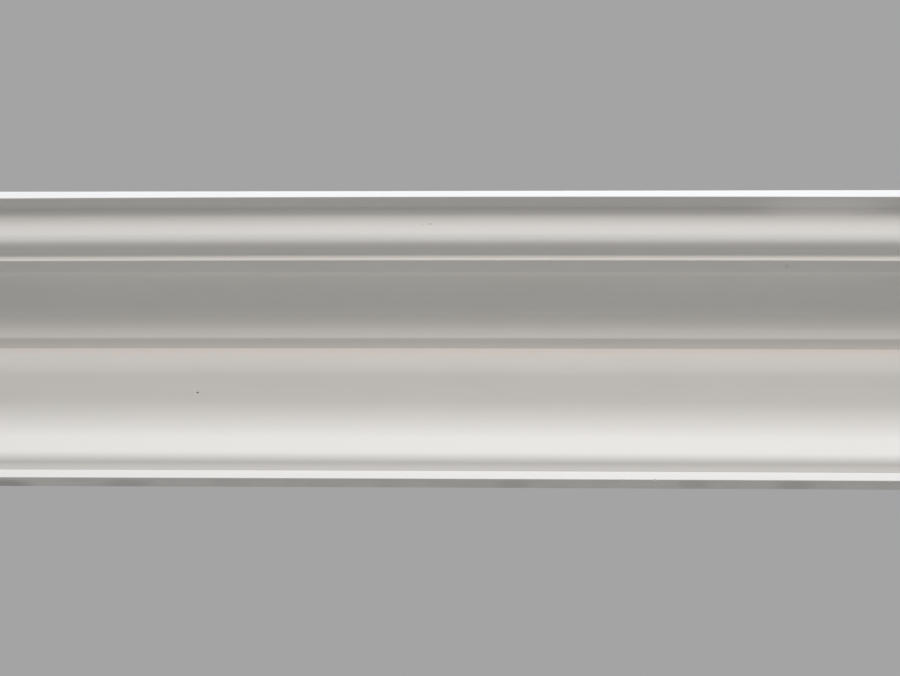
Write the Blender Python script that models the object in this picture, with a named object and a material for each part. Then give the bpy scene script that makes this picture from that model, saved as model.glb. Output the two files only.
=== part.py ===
"""A length of plain crown moulding, cast in white plaster and cut square at both ends.

Metres, +Z up. X runs along the wall, +Y points into the wall and -Y into the room. The origin is the middle
of the flat that beds on the wall, and the flat that beds under the ceiling is on top.
"""

import math

import bmesh
import bpy
from mathutils import Vector

# Whole piece
LENGTH = 0.450
SHELL_THICKNESS = 0.012
ARRIS_RADIUS = 0.0003

# Lower fillet, against the wall
UNDERSIDE_DEPTH = 0.0063
LOWER_FILLET_HEIGHT = 0.0050

# Nose over the lower fillet
NOSE_ROOT_RADIUS = 0.0191
NOSE_ROOT_TILT = 50.0
NOSE_RADIUS = 0.0067
NOSE_LOW_TILT = 39.0

# Ogee: a hollow below and a round above, with straight runs between
OGEE_LOW_TILT = 86.0
OGEE_LOW_RUN = 0.00915
OGEE_HOLLOW_RADIUS = 0.02685
OGEE_MIDDLE_TILT = 46.0
OGEE_MIDDLE_RUN = 0.0113
OGEE_ROUND_RADIUS = 0.0214
OGEE_TOP_TILT = 85.0

# Small hollow step under the cove
STEP_RADIUS = 0.0171
STEP_LOW_TILT = 38.0
STEP_HIGH_TILT = 21.0

# Cove, the short straight quirk at its top and the flat soffit beyond
COVE_RADIUS = 0.0251
COVE_LOW_TILT = 66.0
COVE_HIGH_TILT = -12.0
COVE_QUIRK_RUN = 0.00175
COVE_SOFFIT_DEPTH = 0.0080

# Thin fillet and its small cavetto
THIN_FILLET_RUN = 0.00215
THIN_FILLET_TILT = 74.0
CAVETTO_RADIUS = 0.0014

# Crown: a round below, a straight run, a hollow above and a short flat under the soffit
CROWN_LOW_TILT = -4.0
CROWN_ROUND_RADIUS = 0.0082
CROWN_MIDDLE_TILT = 69.0
CROWN_MIDDLE_RUN = 0.00743
CROWN_HOLLOW_RADIUS = 0.0050
CROWN_TOP_TILT = 36.0
CROWN_TOP_RUN = 0.0022

# Top fillet, under the ceiling
TOP_SOFFIT_DEPTH = 0.00672
TOP_FILLET_HEIGHT = 0.0045

# Facets: those of an arc lie within FACET_DEPTH of it
FACET_DEPTH = 0.00001
ARRIS_SEGMENTS = 3
ARRIS_LEAST_DEGREES = 25.0

# Finish
PLASTER_COLOUR = (0.86, 0.85, 0.83, 1.0)
PLASTER_ROUGHNESS = 0.85

FLOOR_FACING = 0.0
ROOM_FACING = 90.0


def heading(tilt):
    """The way the outline runs where its face has this tilt: out from the wall at 0, up at 90 degrees."""
    angle = math.radians(tilt)
    return Vector((0.0, -math.cos(angle), math.sin(angle)))


def outward(tilt):
    """The way a face of this tilt looks: at the floor at 0, into the room at 90 degrees."""
    angle = math.radians(tilt)
    return Vector((0.0, -math.sin(angle), -math.cos(angle)))


class SectionPen:
    """Draws the section as one chain of edges, from the wall outwards and up."""

    def __init__(self, mesh):
        self.mesh = mesh
        self.start = mesh.verts.new((0.0, 0.0, 0.0))
        self.tip = self.start

    def line(self, offset):
        """A straight edge from the tip."""
        extruded = bmesh.ops.extrude_vert_indiv(self.mesh, verts=[self.tip])
        self.tip = extruded["verts"][0]
        self.tip.co += offset

    def run(self, length, tilt):
        """A flat member."""
        self.line(heading(tilt) * length)

    def arc(self, radius, tilt_from, tilt_to):
        """A round member where the tilt grows, and a hollow one where it falls."""
        turn = tilt_to - tilt_from
        side = math.copysign(radius, turn)
        facet = 2.0 * math.acos(1.0 - FACET_DEPTH / radius)
        swept = bmesh.ops.spin(
            self.mesh,
            geom=[self.tip],
            cent=self.tip.co - outward(tilt_from) * side,
            axis=(1.0, 0.0, 0.0),
            angle=-math.radians(turn),
            steps=math.ceil(math.radians(abs(turn)) / facet),
        )
        self.tip = swept["geom_last"][0]


def draw_wall_members(pen):
    """Lower fillet, nose and ogee."""
    pen.run(UNDERSIDE_DEPTH, FLOOR_FACING)
    pen.run(LOWER_FILLET_HEIGHT, ROOM_FACING)
    pen.arc(NOSE_ROOT_RADIUS, NOSE_ROOT_TILT, NOSE_LOW_TILT)
    pen.arc(NOSE_RADIUS, NOSE_LOW_TILT, OGEE_LOW_TILT)
    pen.run(OGEE_LOW_RUN, OGEE_LOW_TILT)
    pen.arc(OGEE_HOLLOW_RADIUS, OGEE_LOW_TILT, OGEE_MIDDLE_TILT)
    pen.run(OGEE_MIDDLE_RUN, OGEE_MIDDLE_TILT)
    pen.arc(OGEE_ROUND_RADIUS, OGEE_MIDDLE_TILT, OGEE_TOP_TILT)


def draw_cove(pen):
    """Small step, cove and its flat soffit."""
    pen.arc(STEP_RADIUS, STEP_LOW_TILT, STEP_HIGH_TILT)
    pen.arc(COVE_RADIUS, COVE_LOW_TILT, COVE_HIGH_TILT)
    pen.run(COVE_QUIRK_RUN, COVE_HIGH_TILT)
    pen.run(COVE_SOFFIT_DEPTH, FLOOR_FACING)


def draw_crown(pen):
    """Thin fillet, cavetto, crown and top fillet."""
    pen.run(THIN_FILLET_RUN, THIN_FILLET_TILT)
    pen.arc(CAVETTO_RADIUS, THIN_FILLET_TILT, CROWN_LOW_TILT)
    pen.arc(CROWN_ROUND_RADIUS, CROWN_LOW_TILT, CROWN_MIDDLE_TILT)
    pen.run(CROWN_MIDDLE_RUN, CROWN_MIDDLE_TILT)
    pen.arc(CROWN_HOLLOW_RADIUS, CROWN_MIDDLE_TILT, CROWN_TOP_TILT)
    pen.run(CROWN_TOP_RUN, CROWN_TOP_TILT)
    pen.run(TOP_SOFFIT_DEPTH, FLOOR_FACING)
    pen.run(TOP_FILLET_HEIGHT, ROOM_FACING)


def draw_back(pen):
    """Ceiling flat, sloping back and wall flat. Returns the height of the wall flat.

    The back runs parallel to the face's two long edges, SHELL_THICKNESS behind its deepest hollow.
    """
    slope = pen.tip.co.copy()
    drop, projection = slope.z, -slope.y
    into_back = Vector((0.0, drop, projection)).normalized()
    deepest = max(vertex.co.dot(into_back) for vertex in pen.mesh.verts)
    back_offset = deepest + SHELL_THICKNESS
    ceiling_flat = back_offset / into_back.y
    wall_flat = back_offset / into_back.z
    pen.line(Vector((0.0, ceiling_flat, 0.0)))
    pen.line(Vector((0.0, 0.0, wall_flat)) - pen.tip.co)
    pen.mesh.edges.new((pen.tip, pen.start))
    return wall_flat


def soften_arrises(mesh):
    """Rounds the outer long edges a little."""
    arrises = []
    for edge in mesh.edges:
        along = abs((edge.verts[1].co - edge.verts[0].co).normalized().x) > 0.5
        if along and edge.calc_face_angle_signed() > math.radians(ARRIS_LEAST_DEGREES):
            arrises.append(edge)
    bmesh.ops.bevel(
        mesh,
        geom=arrises,
        offset=ARRIS_RADIUS,
        offset_type="OFFSET",
        segments=ARRIS_SEGMENTS,
        profile=0.5,
        affect="EDGES",
        material=-1,
    )


def plaster():
    """White plaster, matt."""
    material = bpy.data.materials.new("white_plaster")
    material.use_nodes = True
    shader = material.node_tree.nodes["Principled BSDF"]
    shader.inputs["Base Color"].default_value = PLASTER_COLOUR
    shader.inputs["Roughness"].default_value = PLASTER_ROUGHNESS
    shader.inputs["Metallic"].default_value = 0.0
    return material


def build_moulding():
    """The whole length, as one solid."""
    mesh = bmesh.new()
    pen = SectionPen(mesh)
    draw_wall_members(pen)
    draw_cove(pen)
    draw_crown(pen)
    wall_flat = draw_back(pen)

    section = bmesh.ops.contextual_create(mesh, geom=mesh.edges[:])["faces"]
    length = bmesh.ops.extrude_face_region(mesh, geom=section, use_keep_orig=True)["geom"]
    far_end = [item for item in length if isinstance(item, bmesh.types.BMVert)]
    bmesh.ops.translate(mesh, verts=far_end, vec=(LENGTH, 0.0, 0.0))
    bmesh.ops.translate(mesh, verts=mesh.verts[:], vec=(-LENGTH / 2, 0.0, -wall_flat / 2))
    bmesh.ops.recalc_face_normals(mesh, faces=mesh.faces[:])
    soften_arrises(mesh)

    data = bpy.data.meshes.new("crown_moulding")
    mesh.to_mesh(data)
    mesh.free()
    data.materials.append(plaster())
    moulding = bpy.data.objects.new("crown_moulding", data)
    bpy.context.scene.collection.objects.link(moulding)
    return moulding


def main():
    for leftover in list(bpy.data.objects):
        bpy.data.objects.remove(leftover)
    build_moulding()


main()
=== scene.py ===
"""Looks for a length of plain crown moulding, cast in white plaster and sawn square at both ends.

Metres, +Z up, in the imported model's frame: X runs along the wall, +Y points into the wall and -Y into the
room. The moulding is seen from the room, from below and square to its sloping face.
"""

import logging
import math
from collections.abc import Callable, Iterable
from dataclasses import dataclass
from enum import Enum

import bmesh
import bpy
from mathutils import Matrix, Vector, noise

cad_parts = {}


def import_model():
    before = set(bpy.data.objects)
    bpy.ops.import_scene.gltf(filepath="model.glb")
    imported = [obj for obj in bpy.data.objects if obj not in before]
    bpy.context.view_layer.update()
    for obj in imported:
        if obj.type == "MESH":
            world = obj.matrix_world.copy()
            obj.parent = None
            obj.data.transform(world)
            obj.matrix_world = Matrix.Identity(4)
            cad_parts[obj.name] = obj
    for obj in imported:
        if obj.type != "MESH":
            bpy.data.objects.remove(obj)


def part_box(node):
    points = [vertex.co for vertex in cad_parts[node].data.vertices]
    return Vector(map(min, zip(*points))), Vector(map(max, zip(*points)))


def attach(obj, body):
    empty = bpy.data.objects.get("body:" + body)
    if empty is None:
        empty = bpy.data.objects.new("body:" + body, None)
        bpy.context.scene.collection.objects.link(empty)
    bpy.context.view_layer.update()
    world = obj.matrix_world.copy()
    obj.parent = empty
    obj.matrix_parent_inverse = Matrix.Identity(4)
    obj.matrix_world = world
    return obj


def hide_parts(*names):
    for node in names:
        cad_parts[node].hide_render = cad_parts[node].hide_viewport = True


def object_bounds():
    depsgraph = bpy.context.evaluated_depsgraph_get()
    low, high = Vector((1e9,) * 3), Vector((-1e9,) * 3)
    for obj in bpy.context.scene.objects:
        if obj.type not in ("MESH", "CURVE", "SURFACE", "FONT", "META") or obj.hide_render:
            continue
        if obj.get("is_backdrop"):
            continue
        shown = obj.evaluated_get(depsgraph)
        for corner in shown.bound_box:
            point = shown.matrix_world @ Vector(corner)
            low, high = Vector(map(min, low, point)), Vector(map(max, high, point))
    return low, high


LOG = logging.getLogger("crown_moulding")

NODE = "crown_moulding"
BODY = "root"

# How near a flat a point counts as lying on it
ON_FLAT = 1e-5

# How much of a face's normal lies along an axis where the face looks that way
LOOKING = 0.5

# What a count of equal parts may be over a whole number by rounding
ROUNDING = 1e-6

# The way the sloping face looks, and the way it runs down from its top arris
FACE_OUT = Vector((0.0, -1.0, -1.0)).normalized()
FACE_DOWN = Vector((0.0, 1.0, -1.0)).normalized()
ALONG = Vector((1.0, 0.0, 0.0))

Pair = tuple[float, float]
Triple = tuple[float, float, float]
Colour = Triple


class Side(Enum):
    """The sides of the moulding that are finished differently. The value is the material slot."""

    FACE = 0
    BED = 1
    SAWN_END = 2


def ease(share: float) -> float:
    """A smooth step from 0 to 1 as the share does the same."""
    held = min(max(share, 0.0), 1.0)
    return held * held * (3.0 - 2.0 * held)


def unrest(place: Vector, grain: Triple) -> float:
    """Cloudy noise in the shape.

    Args:
        place: where it is wanted.
        grain: about how many clouds there are to the metre, along x, y and z.

    Returns:
        A value between -1 and 1.
    """
    return noise.noise((place.x * grain[0], place.y * grain[1], place.z * grain[2]))


@dataclass(frozen=True)
class FacePlan:
    """Places on the sloping face, from the CAD solid's box.

    A place is given by x along the length and by how far down the face it is from the top arris.
    """

    front: float
    top: float
    bottom: float
    half_length: float
    drop: float

    @classmethod
    def of_node(cls, name: str) -> "FacePlan":
        """Measures a CAD node.

        Args:
            name: the node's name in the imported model.

        Returns:
            The plan of its face.
        """
        low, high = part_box(name)
        drop = Vector((0.0, high.y - low.y, low.z - high.z)).dot(FACE_DOWN)
        return cls(front=low.y, top=high.z, bottom=low.z, half_length=high.x, drop=drop)

    def down(self, place: Vector) -> float:
        """How far down the face a place is."""
        return (place - Vector((0.0, self.front, self.top))).dot(FACE_DOWN)


class Wire:
    """An output socket that Python's operators work on, by laying down Math and Vector Math nodes."""

    def __init__(self, tree: "FinishTree", socket: bpy.types.NodeSocket) -> None:
        """Wraps a socket.

        Args:
            tree: the tree that the socket's node is in.
            socket: the output socket.
        """
        self.tree = tree
        self.socket = socket

    def _sum(self, operation: str, left: "Operand", right: "Operand") -> "Wire":
        """Lays down one node for two operands.

        Args:
            operation: the operation's name, the same in Math and in Vector Math.
            left: the first operand.
            right: the second operand.

        Returns:
            The result.
        """
        on_vectors = self.socket.type == "VECTOR"
        kind = "ShaderNodeVectorMath" if on_vectors else "ShaderNodeMath"
        return self.tree.node(kind, {"operation": operation}, {0: left, 1: right})

    def __add__(self, other: "Operand") -> "Wire":
        """Self plus other."""
        return self._sum("ADD", self, other)

    def __radd__(self, other: "Operand") -> "Wire":
        """Other plus self."""
        return self._sum("ADD", other, self)

    def __sub__(self, other: "Operand") -> "Wire":
        """Self minus other."""
        return self._sum("SUBTRACT", self, other)

    def __rsub__(self, other: "Operand") -> "Wire":
        """Other minus self."""
        return self._sum("SUBTRACT", other, self)

    def __mul__(self, other: "Operand") -> "Wire":
        """Self times other."""
        return self._sum("MULTIPLY", self, other)

    def __rmul__(self, other: "Operand") -> "Wire":
        """Other times self."""
        return self._sum("MULTIPLY", other, self)

    def length(self) -> "Wire":
        """The length of a vector."""
        return self.tree.node("ShaderNodeVectorMath", {"operation": "LENGTH"}, {0: self}, "Value")

    def step(self, start: float, end: float) -> "Wire":
        """A smooth step.

        Args:
            start: where the step is still 0.
            end: where it has reached 1.

        Returns:
            The step, from 0 to 1.
        """
        return self.tree.node(
            "ShaderNodeMapRange",
            {"interpolation_type": "SMOOTHSTEP"},
            {"Value": self, "From Min": start, "From Max": end},
        )

    def blend(self, none: "Wire | Colour", full: "Wire | Colour") -> "Wire":
        """Mixes two colours, with self as the share of the second.

        Args:
            none: the colour where self is 0.
            full: the colour where self is 1.

        Returns:
            The mixed colour.
        """
        return self.tree.node(
            "ShaderNodeMix",
            {"data_type": "RGBA"},
            {"Factor": self, "A": none, "B": full},
            "Result",
        )


Operand = Wire | float | Triple


class FinishTree:
    """A material's node tree, in which wires are drawn."""

    def __init__(self, name: str, roughness: float) -> None:
        """Makes the material.

        Args:
            name: the material's name.
            roughness: its roughness all over.
        """
        self.material = bpy.data.materials.new(name)
        self.material.use_nodes = True
        self.nodes = self.material.node_tree.nodes
        self.links = self.material.node_tree.links
        self.shader = self.nodes["Principled BSDF"]
        self.shader.inputs["Roughness"].default_value = roughness
        self.shader.inputs["Metallic"].default_value = 0.0
        self.place = self.node("ShaderNodeTexCoord", output="Object")

    def node(
        self,
        kind: str,
        settings: dict[str, object] | None = None,
        inputs: dict[str | int, Operand] | None = None,
        output: str | int = 0,
    ) -> Wire:
        """Adds any node.

        Args:
            kind: the node's type.
            settings: its settings, which are set first.
            inputs: the values or links of its sockets.
            output: the output that is wanted.

        Returns:
            That output.
        """
        made = self.nodes.new(kind)
        for name, value in (settings or {}).items():
            setattr(made, name, value)
        for name, value in (inputs or {}).items():
            self.plug(self.live_socket(made.inputs, name), value)
        return Wire(self, self.live_socket(made.outputs, output))

    @staticmethod
    def live_socket(sockets: Iterable[bpy.types.NodeSocket], name: str | int) -> bpy.types.NodeSocket:
        """The socket of that name, or number, that the node's settings leave in use.

        Args:
            sockets: a node's inputs or outputs.
            name: the socket's name or its number among those in use.

        Returns:
            The socket.
        """
        live = [socket for socket in sockets if socket.enabled]
        if isinstance(name, int):
            return live[name]
        return next(socket for socket in live if socket.name == name)

    def plug(self, socket: bpy.types.NodeSocket, value: Operand) -> None:
        """Links a wire to an input socket, or sets a value there.

        Args:
            socket: the input socket.
            value: a wire, a number or a triple.
        """
        if isinstance(value, Wire):
            self.links.new(value.socket, socket)
        elif socket.type == "RGBA":
            socket.default_value = (*value, 1.0)
        elif socket.type == "VECTOR" and not isinstance(value, tuple):
            socket.default_value = (value, value, value)
        else:
            socket.default_value = value

    def axis(self, name: str) -> Wire:
        """One coordinate of the place."""
        return self.node("ShaderNodeSeparateXYZ", None, {"Vector": self.place}, name)

    def noise(self, grain: Triple, detail: float = 2.0, roughness: float = 0.5) -> Wire:
        """Cloudy noise.

        Args:
            grain: about how many clouds there are to the metre, along x, y and z.
            detail: how many finer layers are added.
            roughness: how strong the finer layers are.

        Returns:
            A value near 0.5, mostly between 0.3 and 0.7.
        """
        return self.node(
            "ShaderNodeTexNoise",
            {"noise_dimensions": "3D"},
            {"Vector": self.place * grain, "Scale": 1.0, "Detail": detail, "Roughness": roughness},
            "Fac",
        )

    def finish(self, colour: Wire, height: Wire) -> bpy.types.Material:
        """Connects the shader.

        Args:
            colour: the colour over the surface.
            height: the relief over the surface, in metres.

        Returns:
            The finished material.
        """
        relief = self.node("ShaderNodeBump", None, {"Strength": 1.0, "Distance": 1.0, "Height": height})
        self.plug(self.shader.inputs["Base Color"], colour)
        self.plug(self.shader.inputs["Normal"], relief)
        return self.material


@dataclass(frozen=True)
class MarkOrPaintedLight:
    """A spot on the face whose colour differs: a real mark, or painted light or shade.

    along and down give its middle, half_length and half_height its reach, and strength its share of colour.
    """

    along: float
    down: float
    half_length: float
    half_height: float
    colour: Colour
    strength: float


@dataclass(frozen=True)
class PaintedLightBand:
    """A strip of the face, along its whole length, painted a little lighter or duller as painted light or
    shade.

    start and end say how far down the face it lies, head and tail how wide its upper and lower edges are, and
    patchiness how much of it is broken up into clouds.
    """

    start: float
    end: float
    head: float
    tail: float
    colour: Colour
    strength: float = 1.0
    patchiness: float = 0.0


@dataclass(frozen=True)
class CastPlaster:
    """The finish of the moulded face: smooth, matt, very slightly warm, with faint marks of the running,
    and with painted shade and light in bands and spots.

    In the three finishes a grain is in clouds a metre. An edge is where a noise starts and ends its step, a
    share is how much of the duller colour it brings, and a depth is its height in the relief.
    """

    plan: FacePlan
    bands: tuple[PaintedLightBand, ...]
    marks_and_light: tuple[MarkOrPaintedLight, ...]
    colour: Colour = (0.82, 0.811, 0.780)
    dull_colour: Colour = (0.79, 0.778, 0.743)
    cloud_share: float = 0.5
    streak_share: float = 0.35
    cloud_edge: Pair = (0.4, 0.75)
    streak_edge: Pair = (0.5, 0.8)
    patch_edge: Pair = (0.35, 0.65)
    cloud_grain: Triple = (18.0, 60.0, 60.0)
    streak_grain: Triple = (5.0, 700.0, 700.0)
    patch_grain: Triple = (45.0, 90.0, 90.0)
    fine_grain: Triple = (1100.0, 1100.0, 1100.0)
    streak_depth: float = 0.000012
    grain_depth: float = 0.000015
    spot_core: float = 0.25
    roughness: float = 0.85

    def material(self) -> bpy.types.Material:
        """Builds the material."""
        tree = FinishTree("cast_plaster", self.roughness)
        clouds = tree.noise(self.cloud_grain, 3.0).step(*self.cloud_edge)
        streaks = tree.noise(self.streak_grain, 2.0)
        dullness = clouds * self.cloud_share + streaks.step(*self.streak_edge) * self.streak_share
        colour = dullness.blend(self.colour, self.dull_colour)
        down = self.down(tree)
        # Painted shade and light in bands along the face's members; the patches cloud the painted shade on
        # the underside
        patches = tree.noise(self.patch_grain, 3.0).step(*self.patch_edge)
        for band in self.bands:
            begun = down.step(band.start, band.start + band.head)
            left = 1.0 - down.step(band.end - band.tail, band.end)
            cover = 1.0 - patches * band.patchiness
            colour = (begun * left * cover * band.strength).blend(colour, band.colour)
        # Spots: real marks, painted shade in the pinhole, and painted light and shade on the soffit and
        # underside
        for spot_mark in self.marks_and_light:
            colour = (self.spot(tree, spot_mark) * spot_mark.strength).blend(colour, spot_mark.colour)
        height = streaks * self.streak_depth + tree.noise(self.fine_grain, 3.0) * self.grain_depth
        return tree.finish(colour, height)

    def down(self, tree: FinishTree) -> Wire:
        """How far down the face each place is.

        Args:
            tree: the tree it is worked out in.

        Returns:
            The distance from the top arris.
        """
        top_arris = (0.0, self.plan.front, self.plan.top)
        inputs = {0: tree.place - top_arris, 1: tuple(FACE_DOWN)}
        return tree.node("ShaderNodeVectorMath", {"operation": "DOT_PRODUCT"}, inputs, "Value")

    def spot(self, tree: FinishTree, spot_mark: MarkOrPaintedLight) -> Wire:
        """Where a spot is: a real mark, or painted light or shade.

        Args:
            tree: the tree it is drawn in.
            spot_mark: its place and size.

        Returns:
            1 in its middle and 0 outside it.
        """
        along = (tree.axis("X") - spot_mark.along) * (1.0 / spot_mark.half_length)
        down = (self.down(tree) - spot_mark.down) * (1.0 / spot_mark.half_height)
        reach = tree.node("ShaderNodeCombineXYZ", None, {"X": along, "Y": down})
        return 1.0 - reach.length().step(self.spot_core, 1.0)


@dataclass(frozen=True)
class RuledPlaster:
    """The finish of the back and of the two flats that bed: ruled off by hand, a little rough and pitted."""

    colour: Colour = (0.80, 0.775, 0.74)
    dull_colour: Colour = (0.70, 0.67, 0.625)
    drag_grain: Triple = (7.0, 240.0, 240.0)
    cloud_grain: Triple = (22.0, 30.0, 30.0)
    fine_grain: Triple = (1500.0, 1500.0, 1500.0)
    cloud_share: float = 0.55
    drag_share: float = 0.3
    pit_painted_shade: float = 0.3
    cloud_edge: Pair = (0.38, 0.68)
    drag_edge: Pair = (0.45, 0.75)
    pit_cells: float = 150.0
    pit_radius: float = 0.13
    unpitted: float = 0.72
    drag_depth: float = 0.00012
    pit_depth: float = 0.0004
    grain_depth: float = 0.00003
    roughness: float = 0.93

    def material(self) -> bpy.types.Material:
        """Builds the material."""
        tree = FinishTree("ruled_plaster", self.roughness)
        drag = tree.noise(self.drag_grain, 4.0, 0.6)
        clouds = tree.noise(self.cloud_grain, 4.0, 0.6).step(*self.cloud_edge)
        pits = air_pits(tree, self.pit_cells, self.pit_radius, self.unpitted)
        grain = tree.noise(self.fine_grain, 3.0)
        shade = clouds * self.cloud_share + drag.step(*self.drag_edge) * self.drag_share
        # The pits are darkened with painted shade
        shade = shade + pits * self.pit_painted_shade
        height = drag * self.drag_depth + grain * self.grain_depth - pits * self.pit_depth
        return tree.finish(shade.blend(self.colour, self.dull_colour), height)


@dataclass(frozen=True)
class SawnPlaster:
    """The finish of the two ends: sawn through, chalky, with saw marks and cut air bubbles."""

    colour: Colour = (0.84, 0.82, 0.795)
    dull_colour: Colour = (0.72, 0.69, 0.65)
    mark_grain: Triple = (0.0, 60.0, 620.0)
    cloud_grain: Triple = (0.0, 90.0, 90.0)
    fine_grain: Triple = (1800.0, 1800.0, 1800.0)
    cloud_share: float = 0.3
    mark_share: float = 0.25
    bubble_painted_shade: float = 0.7
    cloud_edge: Pair = (0.4, 0.7)
    mark_edge: Pair = (0.4, 0.7)
    bubble_cells: float = 270.0
    bubble_radius: float = 0.17
    unpitted: float = 0.76
    mark_depth: float = 0.00016
    bubble_depth: float = 0.0005
    grain_depth: float = 0.00003
    roughness: float = 0.95

    def material(self) -> bpy.types.Material:
        """Builds the material."""
        tree = FinishTree("sawn_plaster", self.roughness)
        marks = tree.node(
            "ShaderNodeTexNoise",
            {"noise_dimensions": "3D"},
            {"Vector": tree.place * self.mark_grain, "Scale": 1.0, "Detail": 3.0, "Distortion": 0.2},
            "Fac",
        )
        bubbles = air_pits(tree, self.bubble_cells, self.bubble_radius, self.unpitted)
        grain = tree.noise(self.fine_grain, 3.0)
        clouds = tree.noise(self.cloud_grain, 3.0).step(*self.cloud_edge)
        shade = clouds * self.cloud_share + marks.step(*self.mark_edge) * self.mark_share
        # The bubbles are darkened with painted shade
        shade = shade + bubbles * self.bubble_painted_shade
        height = marks * self.mark_depth + grain * self.grain_depth - bubbles * self.bubble_depth
        return tree.finish(shade.blend(self.colour, self.dull_colour), height)


def air_pits(
    tree: FinishTree,
    spacing: float,
    radius: float,
    share: float,
    floor: float = 0.6,
    fade: float = 0.12,
) -> Wire:
    """Small round pits left by air, here and there.

    Args:
        tree: the tree they are drawn in.
        spacing: how many cells there are to the metre.
        radius: a pit's radius as a share of its cell.
        share: the share of the cells that stay without a pit.
        floor: the share of a pit's radius over which it is at its deepest.
        fade: the further share of the cells whose pits are shallow.

    Returns:
        1 in a pit and 0 outside.
    """
    inputs = {"Vector": tree.place, "Scale": spacing}
    away = tree.node("ShaderNodeTexVoronoi", {"feature": "F1"}, inputs, "Distance")
    chance = tree.node("ShaderNodeTexVoronoi", {"feature": "F1"}, inputs, "Color")
    kept = tree.node("ShaderNodeSeparateXYZ", None, {"Vector": chance}, "X").step(share, share + fade)
    return (1.0 - away.step(radius * floor, radius)) * kept


@dataclass(frozen=True)
class Hollow:
    """A small place on the face where plaster is missing, from a bubble, a knock or a nick in an arris.

    along and down give its middle, half_length and half_height its reach, and steepness how straight its
    sides are, from 1 for a soft dent.
    """

    along: float
    down: float
    half_length: float
    half_height: float
    depth: float
    steepness: float = 1.0

    def sunk(self, along: float, down: float) -> float:
        """How deep it is at a place on the face."""
        reach = math.hypot((along - self.along) / self.half_length, (down - self.down) / self.half_height)
        return self.depth * ease((1.0 - reach) * self.steepness)


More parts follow.
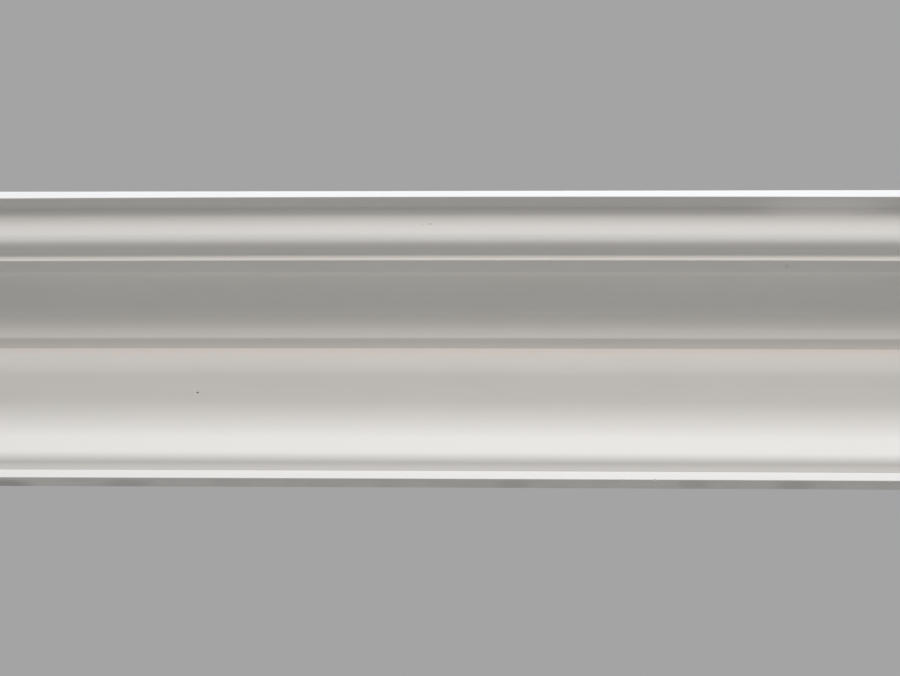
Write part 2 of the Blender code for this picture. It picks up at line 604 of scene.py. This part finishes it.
@dataclass
class MouldingLength:
    """The moulding itself, drawn out of the CAD solid's own section and given its small unevennesses.

    The steps are the longest edges of its mesh, and least_step the shortest along the length. back_start is
    how far behind the two long arrises the back begins. bows are how far the top and the low edge bow, and
    bow_fade is how far from the flats they are whole. A wave or a chip has its depth, and its grain in clouds
    a metre.
    """

    plan: FacePlan
    hollows: tuple[Hollow, ...]
    face_step: float = 0.0015
    bed_step: float = 0.004
    station_step: float = 0.0034
    fine_steps: float = 5.0
    end_steps: tuple[float, ...] = (0.0003, 0.0007, 0.0012, 0.0020)
    cap_step: float = 0.0015
    cap_rim: float = 0.00025
    cap_facing: float = 0.99
    least_step: float = 0.00009
    back_start: float = 0.029
    arris_angle: float = 20.0
    bows: Pair = (0.0007, 0.00017)
    bow_fade: float = 0.004
    face_wave: float = 0.00006
    face_grain: Triple = (28.0, 45.0, 45.0)
    bed_wave: float = 0.0003
    bed_grain: Triple = (25.0, 120.0, 120.0)
    flat_share: float = 0.15
    chip: float = 0.0007
    chip_reach: float = 0.0024
    chip_grain: Triple = (200.0, 420.0, 420.0)
    unchipped: float = 0.15
    saw_wave: float = 0.00008
    saw_pitch: float = 900.0
    saw_slant: float = 180.0
    saw_patch: float = 40.0

    def build(self, finishes: dict[Side, bpy.types.Material]) -> bpy.types.Object:
        """Makes the piece.

        Args:
            finishes: the material of each side.

        Returns:
            The object, in its place.
        """
        mesh = self.section_outline()
        self.divide_outline(mesh)
        self.close_end(mesh)
        self.draw_out(mesh)
        self.dress(mesh)
        self.wear(mesh)
        bmesh.ops.triangulate(mesh, faces=[face for face in mesh.faces if len(face.verts) > 4])

        data = bpy.data.meshes.new("moulding_length")
        mesh.to_mesh(data)
        mesh.free()
        for side in Side:
            data.materials.append(finishes[side])
        piece = bpy.data.objects.new("moulding_length", data)
        bpy.context.scene.collection.objects.link(piece)
        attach(piece, BODY)
        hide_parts(NODE)
        LOG.info("%s: %d faces", piece.name, len(data.polygons))
        return piece

    def section_outline(self) -> bmesh.types.BMesh:
        """The CAD solid's left end, as one closed ring of edges."""
        mesh = bmesh.new()
        mesh.from_mesh(bpy.data.objects[NODE].data)
        bmesh.ops.remove_doubles(mesh, verts=mesh.verts[:], dist=1e-6)
        mesh.normal_update()
        rest = [face for face in mesh.faces if face.normal.x > -LOOKING]
        bmesh.ops.delete(mesh, geom=rest, context="FACES")
        end = bmesh.ops.dissolve_faces(mesh, faces=mesh.faces[:])["region"]
        bmesh.ops.delete(mesh, geom=end, context="FACES_ONLY")
        return mesh

    def divide_outline(self, mesh: bmesh.types.BMesh) -> None:
        """Divides the outline's edges, most finely where a hollow is.

        Args:
            mesh: the outline.
        """

        def plain_step(middle: Vector) -> float:
            """The step between the outline's points where nothing calls for a finer one."""
            return self.bed_step if self.on_bed(middle) else self.face_step

        def fine_step(middle: Vector) -> float:
            """The step between the outline's points near a hollow."""
            steps = [self.bed_step]
            if not self.on_bed(middle):
                down = self.plan.down(middle)
                for hollow in self.hollows:
                    if abs(down - hollow.down) < hollow.half_height + self.face_step / 2:
                        steps.append(hollow.half_height / self.fine_steps)
            return min(steps)

        self.divide_edges(mesh, plain_step)
        self.divide_edges(mesh, fine_step)

    @staticmethod
    def divide_edges(mesh: bmesh.types.BMesh, step: Callable[[Vector], float]) -> None:
        """Divides each edge into equal parts.

        Args:
            mesh: the outline.
            step: gives the longest part allowed at a place.
        """
        groups: dict[int, list[bmesh.types.BMEdge]] = {}
        for edge in mesh.edges:
            middle = (edge.verts[0].co + edge.verts[1].co) / 2
            cuts = math.ceil(edge.calc_length() / step(middle) - ROUNDING) - 1
            groups.setdefault(cuts, []).append(edge)
        for cuts, edges in groups.items():
            if cuts > 0:
                bmesh.ops.subdivide_edges(mesh, edges=edges, cuts=cuts)

    def on_bed(self, place: Vector) -> bool:
        """Whether a place is on the back or on a flat that beds, and not on the face or its end arrises."""
        on_wall = place.y > -ON_FLAT
        on_ceiling = place.z > self.plan.top - ON_FLAT
        behind = (place - Vector((0.0, self.plan.front, self.plan.top))).dot(-FACE_OUT) > self.back_start
        return on_wall or on_ceiling or behind

    def stations(self) -> list[float]:
        """The places along the length where the section is drawn, close together where there is detail."""
        half = self.plan.half_length
        count = math.ceil(2 * half / self.station_step)
        plain = [-half + 2 * half * number / count for number in range(count + 1)]
        fine = [side * (half - step) for side in (-1, 1) for step in self.end_steps]
        spans = []
        for hollow in self.hollows:
            step = hollow.half_length / self.fine_steps
            reach = hollow.half_length + step
            steps = math.ceil(reach / step)
            fine += [hollow.along + step * number for number in range(-steps, steps + 1)]
            spans.append((hollow.along - reach, hollow.along + reach))
        kept = [x for x in plain if not any(low < x < high for low, high in spans)]
        chosen = [-half]
        for x in sorted(kept[1:-1] + fine):
            if min(x - chosen[-1], half - x) > self.least_step:
                chosen.append(x)
        return [*chosen, half]

    def close_end(self, mesh: bmesh.types.BMesh) -> None:
        """Fills the outline and divides the fill, so that it can carry the saw's marks.

        Args:
            mesh: the outline.
        """
        cap = bmesh.ops.contextual_create(mesh, geom=mesh.edges[:])["faces"]
        rim = {"thickness": self.cap_rim, "use_boundary": True, "use_even_offset": True}
        bmesh.ops.inset_region(mesh, faces=cap, **rim)
        low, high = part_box(NODE)
        middle = (low + high) / 2
        cuts = math.ceil((high - low).yz.length / self.cap_step / 2)
        for across in (FACE_DOWN, FACE_OUT):
            for number in range(-cuts, cuts + 1):
                parts = {item for face in cap for item in (*face.verts, *face.edges, face)}
                cut = bmesh.ops.bisect_plane(
                    mesh,
                    geom=list(parts),
                    dist=1e-7,
                    plane_co=middle + across * (self.cap_step * (number + 0.5)),
                    plane_no=across,
                )
                cap = [item for item in cut["geom"] if isinstance(item, bmesh.types.BMFace)]

    def draw_out(self, mesh: bmesh.types.BMesh) -> None:
        """Sets a second end at the other end of the length, joins the two and divides what is between.

        Args:
            mesh: the end at the first station.
        """
        stations = self.stations()
        half = self.plan.half_length
        far_end = bmesh.ops.duplicate(mesh, geom=[*mesh.verts, *mesh.edges, *mesh.faces])["geom"]
        points = [item for item in far_end if isinstance(item, bmesh.types.BMVert)]
        bmesh.ops.translate(mesh, verts=points, vec=ALONG * (2 * half))
        rims = [edge for edge in mesh.edges if edge.is_boundary]
        lines = bmesh.ops.bridge_loops(mesh, edges=rims)["edges"]
        bmesh.ops.subdivide_edges(mesh, edges=lines, cuts=len(stations) - 2, use_grid_fill=True)
        for point in mesh.verts:
            number = (point.co.x + half) / (2 * half) * (len(stations) - 1)
            point.co.x = stations[round(number)]
        bmesh.ops.recalc_face_normals(mesh, faces=mesh.faces[:])

    def dress(self, mesh: bmesh.types.BMesh) -> None:
        """Gives each face its finish, and shades the arrises sharp and the rest smooth.

        Args:
            mesh: the closed moulding, before it is worn.
        """
        mesh.normal_update()
        for face in mesh.faces:
            face.smooth = True
            if abs(face.normal.x) > LOOKING:
                face.material_index = Side.SAWN_END.value
            elif max(face.normal.y, face.normal.z) > LOOKING:
                face.material_index = Side.BED.value
            else:
                face.material_index = Side.FACE.value
        for edge in mesh.edges:
            edge.smooth = edge.calc_face_angle() < math.radians(self.arris_angle)

    def wear(self, mesh: bmesh.types.BMesh) -> None:
        """Moves the points by the piece's small unevennesses.

        Args:
            mesh: the closed moulding.
        """
        moves = [self.unevenness(point) for point in mesh.verts]
        for point, move in zip(mesh.verts, moves):
            point.co += move

    def unevenness(self, point: bmesh.types.BMVert) -> Vector:
        """How far one point moves.

        Args:
            point: the point, still in its true place.

        Returns:
            The move, which takes plaster away and adds none outside the true box.
        """
        place = point.co
        from_end = self.plan.half_length - abs(place.x)
        if from_end < ON_FLAT and abs(point.normal.x) > self.cap_facing:
            move = self.saw_move(place)
        elif self.on_bed(place):
            move = self.bed_move(place, point.normal)
        else:
            move = self.face_move(place)
        if from_end < self.chip_reach:
            jag = unrest(place, self.chip_grain) - self.unchipped
            loss = self.chip * max(jag, 0.0) * (1.0 - from_end / self.chip_reach)
            move -= point.normal * loss
        return move

    def saw_move(self, place: Vector) -> Vector:
        """How far a point inside a sawn end moves."""
        across = place.z * self.saw_pitch + place.y * self.saw_slant
        ripple = noise.noise((across, place.y * self.saw_patch, place.x))
        return ALONG * -math.copysign(self.saw_wave * (1.0 + ripple), place.x)

    def bed_move(self, place: Vector, normal: Vector) -> Vector:
        """How far a point on the back or on a flat moves, most on the back.

        The foot of the wall flat follows the face's lower arris.

        Args:
            place: the point's true place.
            normal: the way the surface looks there.

        Returns:
            The move.
        """
        wave = unrest(place, self.bed_grain)
        off_flats = ease(min(-place.y, self.plan.top - place.z) / self.bow_fade)
        at_foot = ease(1.0 - (place.z - self.plan.bottom) / self.bow_fade)
        share = self.flat_share + (1.0 - self.flat_share) * off_flats
        hollowing = normal * (-self.bed_wave * (1.0 + wave) / 2 * share)
        return hollowing + Vector((0.0, 0.0, (self.inward(place) + self.sag(place)) * at_foot))

    def face_move(self, place: Vector) -> Vector:
        """How far a point on the moulded face moves: a slight bow, faint waves and the hollows.

        The flats that bed hold the face in y at the wall and in z under the ceiling.

        Args:
            place: the point's true place.

        Returns:
            The move.
        """
        off_wall = ease(-place.y / self.bow_fade)
        off_ceiling = ease((self.plan.top - place.z) / self.bow_fade)
        inward = self.inward(place)
        move = Vector((0.0, inward * off_wall, (inward + self.sag(place)) * off_ceiling))
        down = self.plan.down(place)
        for hollow in self.hollows:
            move -= FACE_OUT * hollow.sunk(place.x, down)
        return move

    def inward(self, place: Vector) -> float:
        """The face's faint waves, as a move into the plaster."""
        return self.face_wave * (1.0 + unrest(place, self.face_grain)) / 2

    def sag(self, place: Vector) -> float:
        """The face's slight bow, as a move upwards."""
        top_bow, low_bow = self.bows
        bow = top_bow + (low_bow - top_bow) * self.plan.down(place) / self.plan.drop
        return low_bow - bow * (place.x / self.plan.half_length) ** 2


@dataclass(frozen=True)
class Softbox:
    """A soft light that faces the moulding.

    towards is the way to it from the moulding, aside how far it hangs to the right of that, and radiance how
    bright its face is.
    """

    name: str
    towards: Triple
    height: float
    radiance: Colour
    aside: float = 0.0
    distance: float = 1.3
    length: float = 1.0

    @classmethod
    def strip(cls, name: str, low: float, high: float, radiance: Colour, aside: float = 0.0) -> "Softbox":
        """A light that is level with the wall.

        Args:
            name: its name.
            low: the angle above the horizon, in front, from which the moulding sees it.
            high: the angle up to which it does.
            radiance: how bright its face is.
            aside: how far it hangs to the right.

        Returns:
            The light.
        """
        middle = math.radians((low + high) / 2)
        height = 2 * cls.distance * math.tan(math.radians((high - low) / 2))
        return cls(name, (0.0, -math.cos(middle), math.sin(middle)), height, radiance, aside)

    def place(self, target: Vector) -> None:
        """Hangs the light.

        Args:
            target: what it faces.
        """
        strongest = max(self.radiance)
        light = bpy.data.lights.new(self.name, "AREA")
        light.shape = "RECTANGLE"
        light.size = self.length
        light.size_y = self.height
        light.color = tuple(part / strongest for part in self.radiance)
        light.energy = strongest * math.pi * self.length * self.height
        towards = Vector(self.towards).normalized()
        lamp = bpy.data.objects.new(self.name, light)
        lamp.matrix_world = Matrix.Translation(target + towards * self.distance + ALONG * self.aside) @ (
            (-towards).to_track_quat("-Z", "Y").to_matrix().to_4x4()
        )
        lamp.visible_camera = False
        bpy.context.scene.collection.objects.link(lamp)
        LOG.info("%s: %.1f W", self.name, light.energy)


@dataclass(frozen=True)
class Studio:
    """The pale room around the moulding: even grey surroundings, soft lights and a floor far below."""

    surround: Colour = (0.371, 0.371, 0.373)
    floor_colour: Colour = (0.780, 0.760, 0.735)
    floor_drop: float = 2.4
    floor_half: float = 15.0
    boxes: tuple[Softbox, ...] = (
        Softbox.strip("front_softbox", 5.0, 22.0, (5.27, 4.85, 4.56), 0.14),
        Softbox.strip("raised_softbox", 22.0, 40.0, (5.84, 6.13, 6.55), 0.08),
        Softbox.strip("high_softbox", 40.0, 60.0, (0.91, 1.43, 2.45), 0.15),
        Softbox.strip("rear_softbox", 125.0, 165.0, (1.20, 1.25, 1.35)),
        Softbox("left_end_softbox", (-1.0, 0.40, 0.30), 0.8, (1.9, 1.95, 2.0), length=0.8),
        Softbox("right_end_softbox", (1.0, 0.40, 0.30), 0.8, (2.6, 2.6, 2.6), length=0.8),
    )

    def build(self, target: Vector) -> None:
        """Makes the room.

        Args:
            target: the middle of the moulding.
        """
        self.surroundings()
        self.floor()
        for box in self.boxes:
            box.place(target)
        bpy.context.scene.view_settings.view_transform = "Standard"

    def surroundings(self) -> None:
        """Even light from everywhere."""
        world = bpy.data.worlds.new("even_surround")
        world.use_nodes = True
        sky = world.node_tree.nodes["Background"]
        sky.inputs["Color"].default_value = (*self.surround, 1.0)
        sky.inputs["Strength"].default_value = 1.0
        bpy.context.scene.world = world

    def floor(self) -> None:
        """A plain pale floor, well below, because the moulding hangs high and is seen from underneath."""
        mesh = bmesh.new()
        bmesh.ops.create_grid(mesh, x_segments=1, y_segments=1, size=self.floor_half)
        bmesh.ops.translate(mesh, verts=mesh.verts[:], vec=(0.0, 0.0, -self.floor_drop))
        data = bpy.data.meshes.new("floor")
        mesh.to_mesh(data)
        mesh.free()
        material = bpy.data.materials.new("pale_floor")
        material.use_nodes = True
        shader = material.node_tree.nodes["Principled BSDF"]
        shader.inputs["Base Color"].default_value = (*self.floor_colour, 1.0)
        shader.inputs["Roughness"].default_value = 1.0
        shader.inputs["Specular IOR Level"].default_value = 0.0
        data.materials.append(material)
        floor = bpy.data.objects.new("floor", data)
        bpy.context.scene.collection.objects.link(floor)
        floor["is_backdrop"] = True


@dataclass(frozen=True)
class RoomCamera:
    """The camera: in the room, 45 degrees below the moulding, and a little to the right of its middle."""

    lens: float = 120.0
    sensor_width: float = 36.0
    clip_start: float = 0.05
    clip_end: float = 100.0
    distance: float = 1.41
    swing: float = 3.6
    roll: float = 0.07
    rise: float = 0.00066

    def build(self, target: Vector) -> None:
        """Makes the camera.

        Args:
            target: the place that is in the middle of the picture.
        """
        swing = math.radians(self.swing)
        away = FACE_OUT * math.cos(swing) + ALONG * math.sin(swing)
        data = bpy.data.cameras.new("room_camera")
        data.lens = self.lens
        data.sensor_width = self.sensor_width
        data.clip_start = self.clip_start
        data.clip_end = self.clip_end
        camera = bpy.data.objects.new("room_camera", data)
        up = -FACE_DOWN
        aim = target + up * self.rise
        right = up.cross(away).normalized()
        turn = Matrix((right, away.cross(right), away)).transposed()
        roll = Matrix.Rotation(math.radians(self.roll), 3, away)
        camera.matrix_world = Matrix.Translation(aim + away * self.distance) @ (roll @ turn).to_4x4()
        bpy.context.scene.collection.objects.link(camera)
        bpy.context.scene.camera = camera


# Marks, placed from the middle of the length and down from the top arris
HOLLOWS = (
    # Pinhole and soft dent in the ogee
    Hollow(-0.1214, 0.0955, 0.0005, 0.0005, 0.0008, 2.0),
    Hollow(0.0561, 0.0843, 0.0030, 0.0022, 0.00008),
    # Nicks under the top fillet
    Hollow(-0.1953, 0.0031, 0.0007, 0.0004, 0.0002),
    Hollow(-0.1252, 0.0031, 0.0006, 0.0004, 0.0002),
    Hollow(-0.1033, 0.0031, 0.0007, 0.0004, 0.0002),
    # Nicks under the lower fillet
    Hollow(0.0416, 0.1354, 0.0005, 0.0004, 0.0003),
    Hollow(0.0598, 0.1354, 0.0006, 0.0004, 0.0003),
    Hollow(0.0640, 0.1354, 0.0005, 0.0004, 0.0002),
    Hollow(0.0808, 0.1354, 0.0007, 0.0004, 0.0003),
    Hollow(0.0962, 0.1354, 0.0012, 0.0004, 0.0003),
    Hollow(0.2046, 0.1354, 0.0006, 0.0004, 0.0003),
)
PAINTED_LIGHT_BANDS = (
    # Painted shade on the top soffit, crown and cavetto, darkest in the crease where the crown begins
    PaintedLightBand(0.0028, 0.0125, 0.0012, 0.0012, (0.768, 0.760, 0.735)),
    PaintedLightBand(0.0062, 0.0115, 0.0015, 0.0010, (0.735, 0.727, 0.703)),
    PaintedLightBand(0.0120, 0.0285, 0.0015, 0.0015, (0.772, 0.763, 0.738)),
    PaintedLightBand(0.0170, 0.0216, 0.0014, 0.0008, (0.752, 0.744, 0.716)),
    PaintedLightBand(0.0217, 0.0250, 0.0008, 0.0010, (0.815, 0.808, 0.784)),
    # Painted light and shade on the line and foot of the cove
    PaintedLightBand(0.0379, 0.0412, 0.0004, 0.0026, (0.870, 0.860, 0.828)),
    PaintedLightBand(0.0475, 0.0560, 0.0030, 0.0030, (0.830, 0.820, 0.791)),
    PaintedLightBand(0.0570, 0.0634, 0.0020, 0.0012, (0.790, 0.781, 0.751)),
    PaintedLightBand(0.0642, 0.0692, 0.0012, 0.0004, (0.842, 0.833, 0.801)),
    # Painted light, a little warm, on the ogee, lower fillet and the nose's root
    PaintedLightBand(0.0722, 0.0800, 0.0006, 0.0030, (0.842, 0.818, 0.778)),
    PaintedLightBand(0.0960, 0.1360, 0.0160, 0.0006, (0.829, 0.820, 0.789)),
    PaintedLightBand(0.1281, 0.1314, 0.0014, 0.0002, (0.880, 0.871, 0.840)),
    # Underside: painted light all along, then painted shade in clouds
    PaintedLightBand(0.1353, 0.1410, 0.0004, 0.0004, (0.878, 0.863, 0.826)),
    PaintedLightBand(0.1353, 0.1410, 0.0004, 0.0004, (0.715, 0.703, 0.675), 0.35, 1.0),
)
MARKS_AND_PAINTED_LIGHT = (
    # Pinhole darkened with painted shade, brown dash with its tail, and grey smudge
    MarkOrPaintedLight(-0.1214, 0.0955, 0.0006, 0.0006, (0.17, 0.15, 0.13), 0.95),
    MarkOrPaintedLight(-0.0094, 0.0157, 0.0015, 0.0005, (0.55, 0.47, 0.36), 0.8),
    MarkOrPaintedLight(-0.0128, 0.0158, 0.0022, 0.0004, (0.66, 0.60, 0.52), 0.5),
    MarkOrPaintedLight(0.1575, 0.0354, 0.0017, 0.0017, (0.65, 0.64, 0.61), 0.5),
    # Painted pool of light on the top soffit, towards the right end
    MarkOrPaintedLight(0.1750, 0.0078, 0.0420, 0.0068, (0.890, 0.881, 0.855), 0.95),
    # Painted shade and light in blotches on the underside, from left to right
    MarkOrPaintedLight(-0.2110, 0.1390, 0.0170, 0.0036, (0.590, 0.578, 0.550), 0.9),
    MarkOrPaintedLight(-0.1530, 0.1387, 0.0170, 0.0036, (0.690, 0.678, 0.650), 0.8),
    MarkOrPaintedLight(0.0300, 0.1379, 0.0120, 0.0036, (0.710, 0.698, 0.670), 0.8),
    MarkOrPaintedLight(0.0620, 0.1378, 0.0110, 0.0036, (0.900, 0.886, 0.850), 0.7),
    MarkOrPaintedLight(0.0950, 0.1377, 0.0110, 0.0036, (0.900, 0.886, 0.850), 0.7),
    MarkOrPaintedLight(0.1140, 0.1377, 0.0100, 0.0036, (0.720, 0.708, 0.680), 0.8),
    MarkOrPaintedLight(0.1610, 0.1377, 0.0130, 0.0036, (0.710, 0.698, 0.670), 0.8),
)


def main() -> None:
    """Builds the moulding, its room and the camera."""
    logging.basicConfig(level=logging.INFO, format="%(name)s: %(message)s")
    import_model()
    cad_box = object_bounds()
    plan = FacePlan.of_node(NODE)
    finishes = {
        Side.FACE: CastPlaster(plan, PAINTED_LIGHT_BANDS, MARKS_AND_PAINTED_LIGHT).material(),
        Side.BED: RuledPlaster().material(),
        Side.SAWN_END: SawnPlaster().material(),
    }
    MouldingLength(plan, HOLLOWS).build(finishes)

    low, high = cad_box
    target = Vector((0.0, plan.front / 2, (low[2] + high[2]) / 2))
    Studio().build(target)
    RoomCamera().build(target)


if __name__ == "__main__":
    main()
